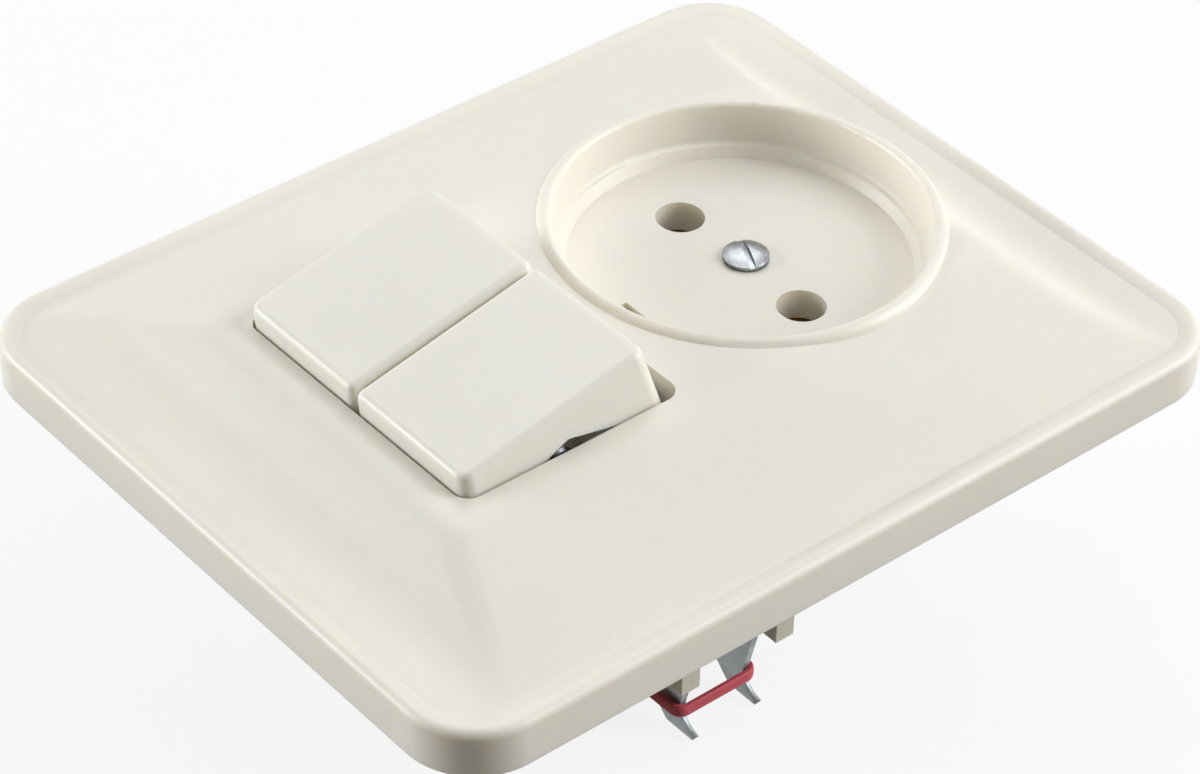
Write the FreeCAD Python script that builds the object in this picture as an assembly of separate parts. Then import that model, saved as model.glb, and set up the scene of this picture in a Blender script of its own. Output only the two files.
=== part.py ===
import FreeCAD, Part
import math
import os

# Flush switch and socket combination: two rocker switches beside an unearthed socket,
# on one insert that spreads two claws inside a round wall box.
# Millimetres. Origin: middle of the cover plate on the wall plane. X runs from the
# switches to the socket, Y across the plate, Z out of the wall.

# Cover plate
plate_length = 100.0
plate_width = 80.0
plate_corner_radius = 8.0
plate_wall = 2.0
skirt_height = 5.3
bead_width = 2.4
bead_round = 0.95
trough_drop = 0.35
trough_slope = 1.1
platform_length = 70.0
platform_width = 39.0
platform_height = 10.45
end_slope_angle = 38.0
end_crest_radius = 5.5
end_cove_radius = 9.0
side_crest_radius = 9.0
side_cove_radius = 3.0
side_crest_inset = 1.35
side_cove_margin = 0.4
ridge_round = 5.0
plate_rib = 1.2
plate_rib_lift = 3.8

# Socket recess, moulded in one piece with the plate
socket_x = 18.1
recess_radius = 19.7
recess_draft = 0.4
recess_floor = 5.1
ledge_height = 6.25
ledge_radius = 18.6
ledge_cove = 0.6
ledge_round = 0.25
lip_height = 11.05
lip_width = 1.5
lip_flare = 1.5
lip_crest_offset = 0.54
lip_inner_round = 0.5
cup_wall = 1.8
pin_spacing = 19.0
pin_hole_radius = 2.62
pin_boss_wall = 1.0
pin_boss_foot = 1.5
latch_slit_length = 3.8
latch_slit_width = 0.7
latch_slit_offset = 14.1

# Clearances
running_gap = 0.06
seat_gap = 0.05
side_play = 0.3

# Rocker window and rockers
window_centre_x = -18.35
window_length = 27.0
window_width = 35.0
window_corner_radius = 1.9
window_collar = 1.5
window_collar_foot = 4.2
pivot_x = window_centre_x + 0.15
pivot_height = 7.0
rocker_split = 0.4
rocker_outer_half = window_width / 2 - side_play - seat_gap
rocker_face_angle = 12.5
rocker_throw = 10.0
rocker_face_height = 8.66
rocker_low_end = window_length / 2 - 1.5
rocker_high_end = window_length / 2 - 2.75
rocker_end_draft = 7.4
rocker_side_height = 4.04
rocker_keel_angle = 25.4
rocker_tail_angle = 14.4
rocker_keel_start = 0.15
rocker_ceiling = 1.8
rocker_wall = 1.5
rocker_edge_round = 0.9
rocker_corner_round = 1.5
clip_rib = 0.9

# Rocker mechanism
axle_radius = 1.5
hub_radius = 3.3
saddle_half = 6.5
saddle_depth = 3.6
cradle_inner = 4.3
cradle_outer = 12.3
housing_radius = 2.6
housing_reach = 6.6
spring_bore_radius = 1.6
spring_bore_top = 2.5
spring_wire_radius = 0.24
spring_coil_radius = 1.15
spring_turns = 3.5
spring_sides = 8
plunger_radius = 1.5
plunger_shoulder = 5.0
plunger_tip_radius = 1.1
lug_radius = 2.8
lug_foot_half = 3.4
lug_thickness = 2.3
lug_centre_half = 2.0
hub_inner = lug_centre_half + 0.4
lug_outer = cradle_outer + 0.4 + lug_thickness
collar_half_width = lug_outer + 0.2

# Seesaw contacts under the plungers
seesaw_height = -3.0
seesaw_thickness = 0.8
seesaw_half = 4.8
seesaw_width = 4.4
seesaw_tilt = 6.0
stud_radius = 1.2
stud_height = 0.6
stud_offset = 4.0
bead_outer_radius = 0.85
plunger_reach = pivot_height - seesaw_height - bead_outer_radius - seat_gap
bead_inner_radius = 0.5
strip_thickness = 0.8
common_bar_height = 4.0
knife_radius = bead_inner_radius - running_gap

# Spreading claws, their screws and the rubber band
claw_sheet = 0.8
claw_outer_half = 4.7
claw_web_top = -7.2
claw_web_thickness = 1.2
claw_inner_y = 15.0
claw_outer_y = 21.3
claw_shoulder_z = -20.8
claw_neck_y = 19.15
claw_neck_z = -30.4
claw_heel_z = -31.6
claw_tip_y = 21.6
claw_tip_z = -33.2
claw_tip_hollow = 0.25
claw_toe_y = 17.2
claw_toe_z = -33.7
claw_edge_bevel = 0.28
claw_screw_radius = 1.6
claw_screw_length = 15.5
claw_screw_head_radius = 2.85
claw_screw_y = collar_half_width + claw_screw_head_radius + 0.25
claw_screw_head_height = 1.8
claw_hole_gap = 0.6
claw_roll_radius = 0.7
claw_roll_y = claw_inner_y - 0.2
claw_roll_z = claw_web_top - 0.6
frame_hole_gap = side_play
band_height = 1.4
band_thickness = 0.8
band_z = claw_heel_z + band_height / 2
band_gap = 0.1

# Moulded base in the wall box
base_radius = 28.0
base_half_width = claw_screw_y + 1.7
base_depth = 24.0
collar_radius = base_radius - 1.4
collar_height = 1.4
collar_end = base_radius - 3.0
chamber_half_length = 5.4
chamber_inner = cradle_inner - side_play
chamber_outer = cradle_outer + side_play
chamber_floor = -9.0
tower_near = 8.0
tower_far = base_radius - 3.8
tower_half_width = 12.3
tower_height = 10.2
tower_depth = base_depth + tower_height
tower_round = 1.5
claw_channel_half = claw_outer_half + 0.5
claw_channel_floor = claw_inner_y - 0.5
guide_rib = 2.4
guide_rib_face = claw_outer_y + 1.2
guide_rib_depth = base_depth + 1.1
guide_rib_round = 0.4

# Terminals
block_length = 5.4
block_width = 6.4
block_height = 8.0
block_setback = 1.8
block_top = -base_depth
wire_bore_radius = 1.6
wire_entry_radius = 1.9
switch_terminal_pitch = 8.0
socket_terminal_offset = 7.5
clamp_screw_radius = 1.5
clamp_head_radius = 2.4
clamp_head_height = 1.5
screw_slot_width = 0.7
screw_slot_depth = 0.7

# Socket contacts
sleeve_bore_radius = 2.45
sleeve_wall = 0.8
sleeve_depth = 13.0
sleeve_top = 1.2
sleeve_slit = 0.8
sleeve_slit_depth = 9.0
sleeve_leg_width = 3.0
clip_wall = 0.5
clip_height = 4.0
clip_gap_angle = 50.0
contact_cover_thickness = 1.4
contact_cover_start = 5.0
contact_cover_reach = 6.7
contact_cover_end = socket_x + contact_cover_reach
contact_cover_half = pin_spacing / 2 + 5.1

# Cover screw and its bush
cover_screw_x = socket_x + 0.8
cover_screw_radius = 1.5
cover_screw_head_radius = 2.45
cover_screw_head_height = 1.1
cover_screw_dome = 0.55
cover_screw_length = 15.0
cover_screw_slot_angle = -24.0
bush_radius = 2.75
bush_length = 12.0

# Steel support frame and its rivets
frame_side_margin = 2.5
frame_end_margin = 12.5
frame_length = plate_length - 2 * (plate_wall + frame_end_margin)
frame_width = plate_width - 2 * (plate_wall + frame_side_margin)
frame_thickness = 1.2
frame_corner_cut = 13.0
frame_opening_gap = side_play
box_slot_margin = 5.5
box_slot_radius = 1.8
box_slot_length = 5.6
rivet_x = 13.5
rivet_y = base_half_width - 2.2
rivet_radius = 1.3
rivet_head_radius = 2.3
rivet_head_height = 0.7
rivet_length = 6.0

up = FreeCAD.Vector(0, 0, 1)
along_y = FreeCAD.Vector(0, 1, 0)


def point(x, y, z):
    return FreeCAD.Vector(x, y, z)


def box(x0, x1, y0, y1, z0, z1):
    """Block between two corners."""
    low = point(min(x0, x1), min(y0, y1), min(z0, z1))
    return Part.makeBox(abs(x1 - x0), abs(y1 - y0), abs(z1 - z0), low)


def post(radius, x, y, z0, z1):
    """Upright cylinder."""
    return Part.makeCylinder(radius, z1 - z0, point(x, y, z0), up)


def rod_across(radius, x, z, y0, y1):
    """Cylinder lying across the plate, along Y."""
    return Part.makeCylinder(radius, y1 - y0, point(x, y0, z), along_y)


def outline(start, *steps):
    """Closed face in the XZ plane. A step is a corner, or an arc's middle and end."""
    edges = []
    here = start
    for step in steps + (start,):
        if len(step) == 3:
            middle, end = step[0], step[1]
            arc = Part.Arc(point(here[0], 0, here[1]), point(middle[0], 0, middle[1]),
                           point(end[0], 0, end[1]))
            edges.append(arc.toShape())
        else:
            end = step
            if math.dist(here, end) > 1e-6:
                edges.append(Part.makeLine(point(here[0], 0, here[1]), point(end[0], 0, end[1])))
        here = end
    return Part.Face(Part.Wire(edges))


def arc_to(middle, end):
    """An arc step for an outline."""
    return (middle, end, "arc")


def bowed(start, end, sag):
    """An arc step for an outline that bulges by sag to the right of its way."""
    run, rise = end[0] - start[0], end[1] - start[1]
    length = math.hypot(run, rise)
    middle = ((start[0] + end[0]) / 2 + rise / length * sag,
              (start[1] + end[1]) / 2 - run / length * sag)
    return arc_to(middle, end)


def rounded_prism(half_x, half_y, radius, z0, z1, centre_x=0.0):
    """Upright block with rounded corners."""
    block = box(centre_x - half_x, centre_x + half_x, -half_y, half_y, z0, z1)
    corners = [e for e in block.Edges if abs(e.tangentAt(e.FirstParameter).z) > 0.9]
    return block.makeFillet(radius, corners)


def spun(face, x, y):
    """Turns an outline about the upright axis and stands it at x, y."""
    turned = face.revolve(point(0, 0, 0), up, 360)
    turned.translate(point(x, y, 0))
    return turned


def fused(first, *others):
    """One solid from pieces that meet."""
    return first.fuse(list(others)).removeSplitter()


def mirrored(shape):
    """The same shape on the other side of the plate's long centre line."""
    return shape.mirror(point(0, 0, 0), along_y)


def edges_near(shape, places, reach):
    """Edges whose middle lies within reach of one of the places."""
    return [e for e in shape.Edges
            if any(e.CenterOfMass.distanceToPoint(place) < reach for place in places)]


def slope_outline(half_flat, rise, angle, crest_radius, cove_radius, reach, foot, top):
    """Cross-section of the raised crown: flat top, rounded crest, straight slope, cove."""
    sine, cosine = math.sin(math.radians(angle)), math.cos(math.radians(angle))
    half_sine, half_cosine = (math.sin(math.radians(angle / 2)), math.cos(math.radians(angle / 2)))
    crest_end = (half_flat + crest_radius * sine, top - crest_radius * (1 - cosine))
    crest_mid = (half_flat + crest_radius * half_sine, top - crest_radius * (1 - half_cosine))
    straight = (rise - (crest_radius + cove_radius) * (1 - cosine)) / sine
    cove_start = (crest_end[0] + straight * cosine, crest_end[1] - straight * sine)
    cove_end = (cove_start[0] + cove_radius * sine, top - rise)
    cove_mid = (cove_end[0] - cove_radius * half_sine, top - rise + cove_radius * (1 - half_cosine))
    flip = lambda place: (-place[0], place[1])
    return outline(
        (reach, foot), (reach, top - rise), cove_end, arc_to(cove_mid, cove_start), crest_end,
        arc_to(crest_mid, (half_flat, top)), (-half_flat, top),
        arc_to(flip(crest_mid), flip(crest_end)), flip(cove_start),
        arc_to(flip(cove_mid), flip(cove_end)), (-reach, top - rise), (-reach, foot))


def slope_angle(run, rise, crest_radius, cove_radius):
    """Angle at which two rounded ends and a straight slope cover a given run and rise."""
    low, high = 1.0, 80.0
    for step in range(60):
        angle = (low + high) / 2
        turn = math.radians(angle)
        rounds = crest_radius + cove_radius
        straight = (rise - rounds * (1 - math.cos(turn))) / math.sin(turn)
        covered = rounds * math.sin(turn) + straight * math.cos(turn)
        low, high = (angle, high) if covered > run else (low, angle)
    return angle


def crown(drop):
    """Raised middle of the plate: one profile along X cut by one along Y, lowered by drop."""
    trough = skirt_height - trough_drop
    rise = platform_height - trough
    end_half = platform_length / 2 - end_crest_radius * math.tan(math.radians(end_slope_angle / 2))
    side_half = platform_width / 2 - side_crest_inset
    side_run = plate_width / 2 - bead_width - side_cove_margin - side_half
    side_angle = slope_angle(side_run, rise, side_crest_radius, side_cove_radius)
    reach_x, reach_y = plate_length / 2 - bead_width, plate_width / 2 - bead_width
    along = slope_outline(end_half, rise, end_slope_angle, end_crest_radius, end_cove_radius,
                          reach_x, trough - 2, platform_height)
    along.translate(point(0, -plate_width / 2, 0))
    lengthwise = along.extrude(point(0, plate_width, 0))
    across = slope_outline(side_half, rise, side_angle, side_crest_radius, side_cove_radius,
                           reach_y, trough - 2, platform_height)
    across.translate(point(0, -plate_length / 2, 0))
    crosswise = across.extrude(point(0, plate_length, 0))
    crosswise.rotate(point(0, 0, 0), up, 90)
    body = lengthwise.common(crosswise)
    body.translate(point(0, 0, -drop))
    return body


def lip_ring():
    """Raised rounded lip of the recess, with a flared foot that runs out on the slopes."""
    crest = (recess_radius + lip_crest_offset, lip_height)
    inner = (recess_radius, lip_height - lip_inner_round)
    outer = (recess_radius + lip_width, platform_height - 0.05)
    foot_height = ledge_height
    face = outline(
        (recess_radius - cup_wall, foot_height), (outer[0] + lip_flare, foot_height), outer,
        bowed(outer, crest, 0.14), bowed(crest, inner, 0.13),
        (recess_radius - cup_wall, inner[1]))
    return spun(face, socket_x, 0)


def recess():
    """Space of the round recess: floor, low step and a slightly drafted wall."""
    over = lip_height + 3
    wall_foot = (recess_radius - recess_draft, ledge_height + ledge_cove)
    step_edge = (ledge_radius + ledge_round, ledge_height)
    step_side = (ledge_radius, ledge_height - ledge_round)
    floor_end = (ledge_radius - ledge_cove, recess_floor)
    face = outline(
        (0, recess_floor), floor_end, step_side, bowed(step_side, step_edge, -ledge_round * 0.3),
        bowed(step_edge, wall_foot, 0.12), (recess_radius, lip_height - lip_inner_round),
        (recess_radius, over), (0, over))
    return spun(face, socket_x, 0)


def plate_ribs():
    """Stiffening ribs under the plate, from the window and the cup to the skirt."""
    half_x, half_y = plate_length / 2 - 1, plate_width / 2 - 1
    half = plate_rib / 2
    low, high = plate_rib_lift, platform_height
    window_edge = window_width / 2 + window_collar / 2
    cup_edge = recess_radius + cup_wall / 2
    ribs = [box(-half_x, window_centre_x - window_length / 2 - 1, -half, half, low, high),
            box(socket_x + cup_edge, half_x, -half, half, low, high)]
    for side in (-1, 1):
        ribs.append(box(window_centre_x - half, window_centre_x + half,
                        side * window_edge, side * half_y, low, high))
        ribs.append(box(socket_x - half, socket_x + half, side * cup_edge, side * half_y,
                        low, high))
    return ribs


def cover_plate():
    trough = skirt_height - trough_drop
    half_x, half_y = plate_length / 2, plate_width / 2
    skirt = rounded_prism(half_x, half_y, plate_corner_radius, 0, skirt_height)
    rim = [e for e in skirt.Edges if e.BoundBox.ZMin > skirt_height - 0.01]
    skirt = skirt.makeFillet(bead_round, rim)
    inset = bead_width
    pocket = rounded_prism(half_x - inset, half_y - inset, plate_corner_radius - inset,
                           trough, skirt_height + 1)
    skirt = skirt.cut(pocket)
    inner_rim = [e for e in skirt.Edges if e.BoundBox.ZMin > skirt_height - 0.01
                 and abs(e.CenterOfMass.x) < half_x - inset + 0.1
                 and abs(e.CenterOfMass.y) < half_y - inset + 0.1]
    skirt = skirt.makeChamfer(trough_slope, trough_drop * 0.97, inner_rim)
    field = rounded_prism(half_x - inset, half_y - inset, plate_corner_radius - inset,
                          trough - 2, platform_height + 1)
    outside = fused(skirt, softened(crown(0)).common(field))
    with_lip = fused(outside, lip_ring())
    hollow = rounded_prism(half_x - plate_wall, half_y - plate_wall,
                           plate_corner_radius - plate_wall, -1, trough - plate_wall)
    shell = with_lip.cut(hollow).cut(crown(plate_wall))
    cup = post(recess_radius + cup_wall, socket_x, 0, recess_floor - plate_wall, ledge_height + 3)
    collar = rounded_prism(window_length / 2 + window_collar, window_width / 2 + window_collar,
                           window_corner_radius + window_collar, window_collar_foot,
                           platform_height, window_centre_x)
    bosses = [post(pin_hole_radius + pin_boss_wall, socket_x, side * pin_spacing / 2,
                   pin_boss_foot, recess_floor) for side in (-1, 1)]
    inner = cup.fuse([collar] + plate_ribs()).common(with_lip).fuse(bosses)
    plate = fused(shell, inner).cut(recess())
    window = rounded_prism(window_length / 2, window_width / 2, window_corner_radius, 0,
                           platform_height + 2, window_centre_x)
    slit_x = socket_x - latch_slit_offset
    slit = box(slit_x - latch_slit_width / 2, slit_x + latch_slit_width / 2,
               -latch_slit_length / 2, latch_slit_length / 2, 0, recess_floor + 1)
    cuts = [window, slit, post(cover_screw_radius + 0.2, cover_screw_x, 0, 0, recess_floor + 1)]
    for side in (-1, 1):
        cuts.append(post(pin_hole_radius, socket_x, side * pin_spacing / 2, 0, recess_floor + 1))
    return plate.cut(cuts)


def softened(body):
    """Rounds the four sloping ridges that run from the platform to the corners."""
    ridges = []
    for edge in body.Edges:
        way = edge.tangentAt((edge.FirstParameter + edge.LastParameter) / 2)
        if min(abs(way.x), abs(way.y)) > 0.05 and abs(way.z) > 0.01:
            ridges.append(edge)
    return body.makeFillet(ridge_round, ridges)


def cover_screw():
    """Slotted screw with a domed head in the middle of the socket."""
    seat = recess_floor
    edge_height = cover_screw_head_height - cover_screw_dome
    head = cover_screw_head_radius
    face = outline(
        (0, seat - cover_screw_length), (cover_screw_radius - 0.4, seat - cover_screw_length),
        (cover_screw_radius, seat - cover_screw_length + 0.5), (cover_screw_radius, seat),
        (head, seat), (head, seat + edge_height),
        arc_to((head * 0.55, seat + cover_screw_head_height - cover_screw_dome * 0.3),
               (0, seat + cover_screw_head_height)))
    screw = spun(face, 0, 0)
    slot = box(-screw_slot_width / 2, screw_slot_width / 2, -head - 1, head + 1,
               seat + cover_screw_head_height - screw_slot_depth, seat + 3)
    slot.rotate(point(0, 0, 0), up, cover_screw_slot_angle)
    screw = screw.cut(slot)
    screw.translate(point(cover_screw_x, 0, 0))
    return screw


def screw_bush():
    """Threaded brass bush that takes the cover screw."""
    top = bush_top()
    bush = post(bush_radius, cover_screw_x, 0, top - bush_length, top)
    groove = post(bush_radius + 1, cover_screw_x, 0, top - bush_length * 0.6,
                  top - bush_length * 0.45)
    neck = post(bush_radius - 0.5, cover_screw_x, 0, top - bush_length, top)
    bush = bush.cut(groove.cut(neck))
    bore = post(cover_screw_radius + seat_gap, cover_screw_x, 0, top - bush_length - 1, top + 1)
    return bush.cut(bore)


def bush_top():
    return collar_height + contact_cover_thickness


def placed(shape, angle):
    """Tilts a piece drawn at the rockers' pivot and stands it there."""
    shape.rotate(point(0, 0, 0), along_y, -angle)
    shape.translate(point(pivot_x, 0, pivot_height))
    return shape


def rocker():
    """Key of the back switch: hollow shell whose lower edges fall away from the middle."""
    face_w = rocker_face_height
    edge_w = face_w - rocker_side_height
    lean = math.tan(math.radians(rocker_end_draft))
    keel = math.tan(math.radians(rocker_keel_angle))
    reach = rocker_high_end - rocker_keel_start
    nose_w = (edge_w - keel * (reach + face_w * lean)) / (1 - keel * lean)
    nose_u = rocker_high_end + (face_w - nose_w) * lean
    tail = math.tan(math.radians(rocker_tail_angle))
    reach = rocker_low_end + rocker_keel_start
    tail_w = (edge_w - tail * (reach + face_w * lean)) / (1 - tail * lean)
    tail_u = -rocker_low_end - (face_w - tail_w) * lean
    shape = outline((-rocker_low_end, face_w), (rocker_high_end, face_w), (nose_u, nose_w),
                    (rocker_keel_start, edge_w), (tail_u, tail_w))
    y0, y1 = rocker_split / 2, rocker_outer_half
    shape.translate(point(0, y0, 0))
    cap = shape.extrude(point(0, y1 - y0, 0))

    def corners(y):
        return edges_near(cap, [point((rocker_high_end + nose_u) / 2, y, (face_w + nose_w) / 2),
                                point((tail_u - rocker_low_end) / 2, y, (face_w + tail_w) / 2)],
                          0.3)

    cap = cap.makeFillet(rocker_corner_round, corners(y1))
    rim = [e for e in cap.Edges if e.BoundBox.ZMin > face_w - 0.01]
    cap = cap.makeFillet(rocker_edge_round, rim + corners(y0))
    ceiling = face_w - rocker_ceiling
    below = nose_w - 3
    skin = rocker_wall / math.cos(math.radians(rocker_end_draft))
    hollow = outline(
        (-rocker_low_end - rocker_ceiling * lean + skin, ceiling),
        (rocker_high_end + rocker_ceiling * lean - skin, ceiling),
        (rocker_high_end + (face_w - below) * lean - skin, below),
        (-rocker_low_end - (face_w - below) * lean + skin, below))
    hollow.translate(point(0, y0 + rocker_wall, 0))
    cap = cap.cut(hollow.extrude(point(0, y1 - y0 - 2 * rocker_wall, 0)))
    for end in (-1, 1):
        near = end * (saddle_half + seat_gap)
        far = near + end * clip_rib
        cap = cap.fuse(box(near, far, cradle_inner, cradle_outer,
                           ceiling - saddle_depth * 0.7, ceiling + 0.5))
    return placed(cap.removeSplitter(), rocker_face_angle)


def plunger_y():
    return (cradle_inner + cradle_outer) / 2


def rocker_cradle():
    """Carrier of the back key: hub on the axle, saddle under the key, plunger housing."""
    ceiling = rocker_face_height - rocker_ceiling
    saddle = outline((-saddle_half, ceiling), (saddle_half, ceiling),
                     (saddle_half, ceiling - saddle_depth), (hub_radius * 0.8, 0),
                     (-hub_radius * 0.8, 0), (-saddle_half, ceiling - saddle_depth))
    saddle.translate(point(0, cradle_inner, 0))
    saddle = placed(saddle.extrude(point(0, cradle_outer - cradle_inner, 0)), rocker_face_angle)
    hub = placed(rod_across(hub_radius, 0, 0, hub_inner, cradle_outer), 0)
    housing = placed(post(housing_radius, 0, plunger_y(), -housing_reach, 0), rocker_throw / 2)
    cradle = fused(saddle, hub, housing)
    axle_bore = placed(rod_across(axle_radius + running_gap, 0, 0, 0, cradle_outer + 1), 0)
    spring_bore = placed(post(spring_bore_radius, 0, plunger_y(), -housing_reach - 1,
                              -spring_bore_top), rocker_throw / 2)
    return cradle.cut([axle_bore, spring_bore])


def spring_plunger():
    """Sprung pin whose tapered tip flips the seesaw contact."""
    tip = plunger_tip_radius
    neck = -plunger_reach + tip
    face = outline((0, -plunger_shoulder), (plunger_radius, -plunger_shoulder),
                   (plunger_radius, neck + 0.8), (tip, neck), (tip / 2, -plunger_reach),
                   (0, -plunger_reach))
    return placed(spun(face, 0, plunger_y()), rocker_throw / 2)


def toggle_spring():
    """Compression spring between the cradle's bore and the plunger."""
    wire = spring_wire_radius
    room = plunger_shoulder - spring_bore_top - 2 * wire - 0.1
    helix = Part.makeHelix(room / spring_turns, room, spring_coil_radius)
    corners = [point(spring_coil_radius + wire * math.cos(math.tau * step / spring_sides), 0,
                     wire * math.sin(math.tau * step / spring_sides))
               for step in range(spring_sides)]
    section = Part.makePolygon(corners + corners[:1])
    coil = Part.Wire(helix.Edges).makePipeShell([section], True, True)
    coil.translate(point(0, plunger_y(), -plunger_shoulder + wire + 0.05))
    return placed(coil, rocker_throw / 2)


def rocker_axle():
    """Steel pin through the three lugs, on which both cradles turn."""
    half = lug_outer + 0.2
    pin = rod_across(axle_radius, pivot_x, pivot_height, -half, half)
    ends = [e for e in pin.Edges if abs(abs(e.CenterOfMass.y) - half) < 0.01]
    return pin.makeChamfer(0.3, ends)


def seesaw_contact():
    """Brass seesaw of the back switch, with a silver stud under its live end."""
    thick = seesaw_thickness / 2
    strip = box(-seesaw_half, seesaw_half, -seesaw_width / 2, seesaw_width / 2, -thick, thick)
    corners = [e for e in strip.Edges if abs(e.tangentAt(e.FirstParameter).z) > 0.9]
    strip = strip.makeFillet(0.8, corners)
    half = seesaw_width / 2
    bead = rod_across(bead_outer_radius, 0, 0, -half, half)
    bead = bead.cut(box(-seesaw_half, seesaw_half, -half, half, -seesaw_half, -thick))
    strip = fused(strip, bead, post(stud_radius, -stud_offset, 0, -thick - stud_height, 0))
    strip = strip.cut(rod_across(bead_inner_radius, 0, 0, -seesaw_width, seesaw_width))
    strip = strip.cut(box(-bead_inner_radius, bead_inner_radius, -seesaw_width, seesaw_width,
                          -seesaw_half, 0))
    strip.rotate(point(0, 0, 0), along_y, seesaw_tilt)
    strip.translate(point(pivot_x, plunger_y(), seesaw_height))
    return strip


def terminal_block(end, y):
    """Brass block with a wire bore from behind and a clamping screw's hole from the side."""
    far = tower_far - block_setback
    near = far - block_length
    low = block_top - block_height
    block = box(end * near, end * far, y - block_width / 2, y + block_width / 2, low, block_top)
    wire = post(wire_bore_radius, end * (near + far) / 2, y, low - 1, block_top - 1.2)
    middle = (low + block_top) / 2
    screw = Part.makeCylinder(clamp_screw_radius + seat_gap, block_length / 2 + 1,
                              point(end * (far + 1), y, middle), point(-end, 0, 0))
    return block.cut([wire, screw])


def terminal_pocket(end, y):
    """Room in a tower for one block, open at the side, with a wire entry behind."""
    far = tower_far - block_setback
    near = far - block_length - seat_gap
    half = block_width / 2 + seat_gap
    low, high = block_top - block_height - seat_gap, block_top + seat_gap
    room = box(end * near, end * (tower_far + 1), y - half, y + half, low, high)
    entry = post(wire_entry_radius, end * (near + far) / 2, y, -tower_depth - 1, low + 1)
    return fused(room, entry)


def clamp_screw(end, y):
    """Slotted terminal screw that clamps the wire."""
    far = tower_far - block_setback
    middle = block_top - block_height / 2
    inward = point(-end, 0, 0)
    head = Part.makeCylinder(clamp_head_radius, clamp_head_height,
                             point(end * (far + clamp_head_height), y, middle), inward)
    shank = Part.makeCylinder(clamp_screw_radius, block_length / 2 - wire_bore_radius - 0.1,
                              point(end * (far + 0.01), y, middle), inward)
    outer = far + clamp_head_height
    slot = box(end * (outer - screw_slot_depth), end * (outer + 1), y - clamp_head_radius - 1,
               y + clamp_head_radius + 1, middle - screw_slot_width / 2,
               middle + screw_slot_width / 2)
    return fused(head, shank).cut(slot)


def contact_foot(end, x, y, half, gap):
    """Bent foot that takes a contact's strip from x to the middle of its terminal block."""
    middle = end * (tower_far - block_setback - block_length / 2)
    return box(min(x, middle), max(x, middle), y - half - gap, y + half + gap,
               block_top - strip_thickness, block_top + gap)


def common_outline(gap):
    """Fork of the common contact in a plane across the plate: two knife posts and one leg."""
    half_x = strip_thickness / 2 + gap
    bar_half = plunger_y() + seesaw_width / 2 - 0.2 + gap
    bar_top = chamber_floor - 1 + gap
    bar_foot = bar_top - common_bar_height - 2 * gap
    bar = box(pivot_x - half_x, pivot_x + half_x, -bar_half, bar_half, bar_foot, bar_top)
    pieces = []
    for side in (-1, 1):
        near = side * (plunger_y() - seesaw_width / 2 + 0.2 - gap)
        far = side * bar_half
        pieces.append(box(pivot_x - half_x, pivot_x + half_x, near, far, bar_foot,
                          seesaw_height))
        pieces.append(rod_across(knife_radius + gap, pivot_x, seesaw_height, min(near, far),
                                 max(near, far)))
    pieces.append(box(pivot_x - half_x, pivot_x + half_x, -2.5 - gap, 2.5 + gap,
                      block_top - strip_thickness, bar_top))
    pieces.append(contact_foot(-1, pivot_x, 0, 2.5, gap))
    return fused(bar, *pieces)


def common_contact():
    return fused(common_outline(0), terminal_block(-1, 0))


def switched_leg(gap):
    """Back switch: fixed contact's pad and the strip down to its terminal."""
    x = -tower_far + block_setback
    y = plunger_y()
    half = 1.6 + gap
    top = fixed_contact_top()
    stud_x = pivot_x - stud_offset
    strip = box(x - gap, x + strip_thickness + gap, y - half, y + half,
                block_top - strip_thickness, top - strip_thickness / 2)
    pad = box(min(x, stud_x - 1.2) - gap, max(x, stud_x + 1.2) + gap, y - 2 - gap, y + 2 + gap,
              top - strip_thickness - gap, top + gap)
    return fused(strip, pad)


def fixed_contact_top():
    """Height at which the flipped seesaw's stud meets its fixed contact."""
    tilt = math.radians(seesaw_tilt)
    drop = stud_offset * math.sin(tilt)
    return seesaw_height - drop - (seesaw_thickness / 2 + stud_height) * math.cos(tilt) - 0.15


def switched_contact():
    return fused(switched_leg(0), terminal_block(-1, switch_terminal_pitch))


def socket_leg(gap):
    """Strip from the back sleeve down to its terminal, with a foot that reaches the block."""
    x = socket_x + sleeve_bore_radius + 0.25
    y = pin_spacing / 2 - sleeve_leg_width / 2 + 0.3
    half = sleeve_leg_width / 2
    strip = box(x - gap, x + strip_thickness + gap, y - half - gap, y + half + gap,
                block_top - strip_thickness, -sleeve_slit_depth - 0.5)
    return fused(strip, contact_foot(1, x, y, half, gap))


def socket_contact():
    """Split brass sleeve for one plug pin, with its strip and terminal block."""
    y = pin_spacing / 2
    outer = sleeve_bore_radius + sleeve_wall
    sleeve = post(outer, socket_x, y, -sleeve_depth, sleeve_top)
    slit = box(socket_x - outer - 1, socket_x + outer + 1, y - sleeve_slit / 2,
               y + sleeve_slit / 2, -sleeve_slit_depth, sleeve_top + 1)
    body = fused(sleeve, socket_leg(0), terminal_block(1, socket_terminal_offset))
    bore = post(sleeve_bore_radius, socket_x, y, -sleeve_depth - 1, sleeve_top + 1)
    return body.cut([slit, bore])


def sleeve_clip():
    """Spring steel ring that closes the split sleeve on the pin."""
    y = pin_spacing / 2
    inner = sleeve_bore_radius + sleeve_wall
    top = sleeve_top - 2
    ring = post(inner + clip_wall, socket_x, y, top - clip_height, top)
    ring = ring.cut(post(inner, socket_x, y, top - clip_height - 1, top + 1))
    gap = box(0, inner * 3, -inner * math.sin(math.radians(clip_gap_angle / 2)),
              inner * math.sin(math.radians(clip_gap_angle / 2)), top - clip_height - 1, top + 1)
    gap.rotate(point(0, 0, 0), up, 90)
    gap.translate(point(socket_x, y, 0))
    return ring.cut(gap)


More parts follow.
